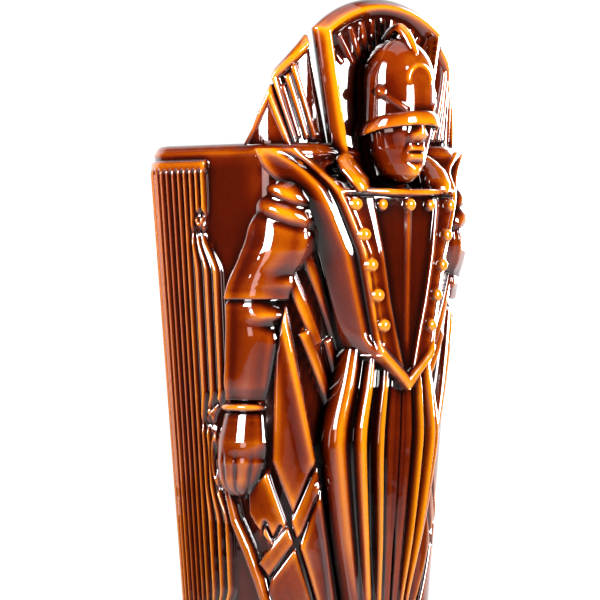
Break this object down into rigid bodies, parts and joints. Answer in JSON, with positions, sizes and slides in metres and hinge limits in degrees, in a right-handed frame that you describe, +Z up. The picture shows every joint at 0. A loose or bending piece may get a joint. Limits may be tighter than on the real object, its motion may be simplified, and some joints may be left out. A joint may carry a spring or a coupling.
{
  "type": "figural tiki mug",
  "caption": "Tall glazed stoneware tiki mug shaped as a standing guard in a studded jacket, with an arched crest behind the head and fluted sides.",
  "frame": {"origin": "centre of the bounding box's base, on the plane that the mug stands on", "axes": "+Z up, along the mug; the figure faces -Y; +X is on the figure's own left"},
  "size_m": [0.0678, 0.0716, 0.21],
  "materials": {
    "treacle_glaze_dark": "high gloss, translucent treacle-brown glaze, dark where it pools",
    "treacle_glaze_amber": "high gloss, same glaze broken to amber over raised edges"
  },
  "bodies": {
    "root": {"plinth": "treacle_glaze_dark", "cup_body": "treacle_glaze_dark", "rim_band": "treacle_glaze_amber", "back_spine": "treacle_glaze_amber", "fluted_panel_left": "treacle_glaze_amber", "fluted_panel_right": "treacle_glaze_amber", "crest_arch": "treacle_glaze_dark", "crest_fan": "treacle_glaze_amber", "crest_wing_left": "treacle_glaze_dark", "crest_wing_right": "treacle_glaze_dark", "crest_step_left": "treacle_glaze_dark", "crest_step_right": "treacle_glaze_dark", "slant_bars_left": "treacle_glaze_amber", "slant_bars_right": "treacle_glaze_amber", "jacket": "treacle_glaze_dark", "bib": "treacle_glaze_dark", "studs": "treacle_glaze_amber", "collar": "treacle_glaze_dark", "face": "treacle_glaze_amber", "helmet": "treacle_glaze_dark", "helmet_brim": "treacle_glaze_amber", "upper_sleeve_left": "treacle_glaze_dark", "upper_sleeve_right": "treacle_glaze_dark", "forearm_left": "treacle_glaze_dark", "forearm_right": "treacle_glaze_dark", "cuff_left": "treacle_glaze_amber", "cuff_right": "treacle_glaze_amber", "glove_left": "treacle_glaze_dark", "glove_right": "treacle_glaze_dark", "breeches_left": "treacle_glaze_dark", "breeches_right": "treacle_glaze_dark", "boot_left": "treacle_glaze_dark", "boot_right": "treacle_glaze_dark", "blade_left": "treacle_glaze_amber", "blade_right": "treacle_glaze_amber", "crossed_bars_left": "treacle_glaze_amber", "crossed_bars_right": "treacle_glaze_amber", "stepped_bars_left": "treacle_glaze_amber", "stepped_bars_right": "treacle_glaze_amber", "fold_left": "treacle_glaze_dark", "fold_right": "treacle_glaze_dark"}
  },
  "joints": []
}
